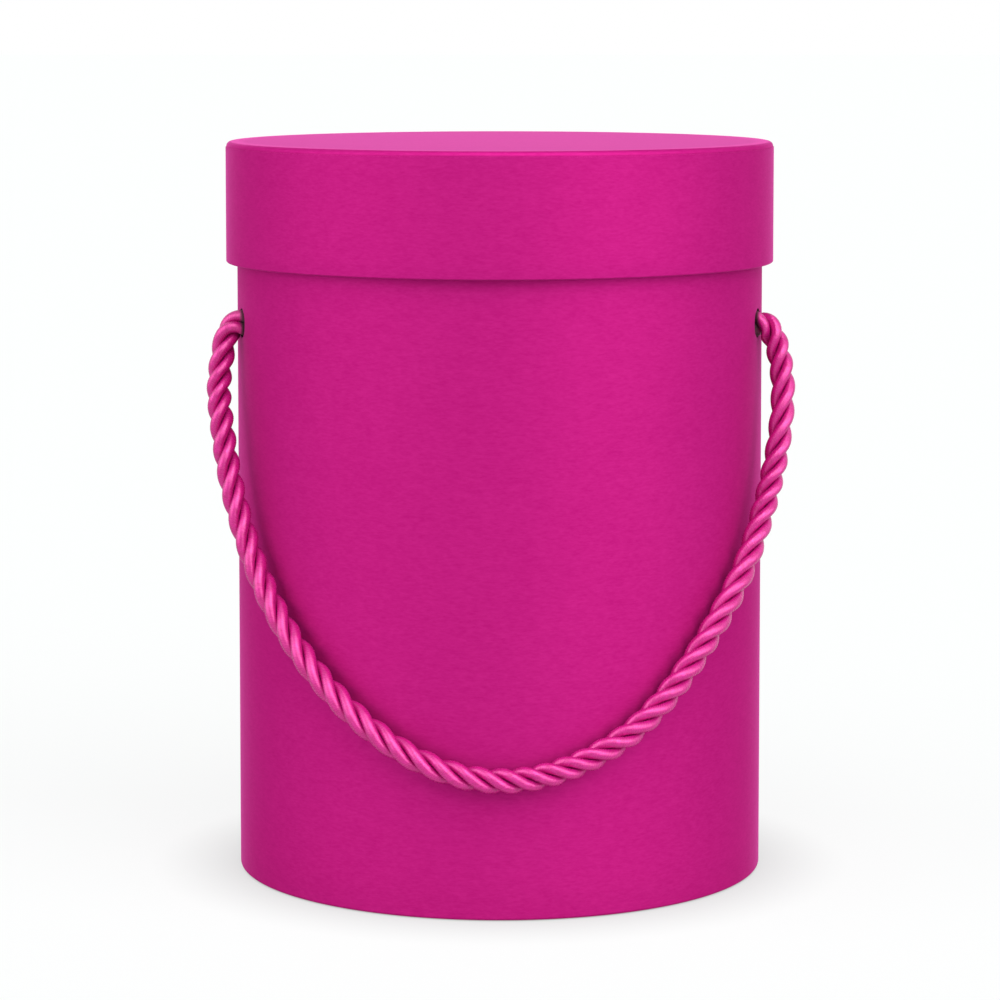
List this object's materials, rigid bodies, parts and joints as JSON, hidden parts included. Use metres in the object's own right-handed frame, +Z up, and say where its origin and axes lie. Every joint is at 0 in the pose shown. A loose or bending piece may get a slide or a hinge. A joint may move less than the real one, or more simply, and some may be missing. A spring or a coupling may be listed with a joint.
{
  "type": "round flower box with rope handle",
  "caption": "Round rigid cardboard hat box with a deep lift-off lid, wrapped in one-colour paper, and a twisted rope handle knotted inside holes in its sides.",
  "frame": {"origin": "centre of the box's underside, on the floor", "axes": "+Z up out of the lid, -Y the front that the rope hangs against, +X to the viewer's right along the line of the two rope holes"},
  "size_m": [0.1988, 0.1928, 0.25],
  "materials": {
    "greyboard": "matt grey-brown recycled board, hidden under the papers",
    "magenta_paper": "satin coated paper in deep magenta with a faint fibre grain",
    "lining_paper": "matt off-white uncoated lining paper",
    "magenta_rope": "satin magenta yarn, three strands twisted right-handed"
  },
  "bodies": {
    "box": {"body_board": "greyboard", "base_board": "greyboard", "body_cover": "magenta_paper", "base_cover": "magenta_paper", "body_lining": "lining_paper", "base_lining": "lining_paper"},
    "lid": {"lid_rim_board": "greyboard", "lid_top_board": "greyboard", "lid_top_cover": "magenta_paper", "lid_skirt_cover": "magenta_paper", "lid_rim_lining": "lining_paper", "lid_top_lining": "lining_paper"},
    "handle": {"rope_handle": "magenta_rope", "left_knot": "magenta_rope", "right_knot": "magenta_rope"}
  },
  "joints": [
    {"name": "lid_lift", "type": "slide", "parent": "box", "child": "lid", "axis": [0, 0, 1], "range_m": [0, 0.18]},
    {"name": "handle_swing", "type": "hinge", "parent": "box", "child": "handle", "pos_m": [0, -0.021, 0.189], "axis": [-1, 0, 0], "range_deg": [0, 130]}
  ]
}
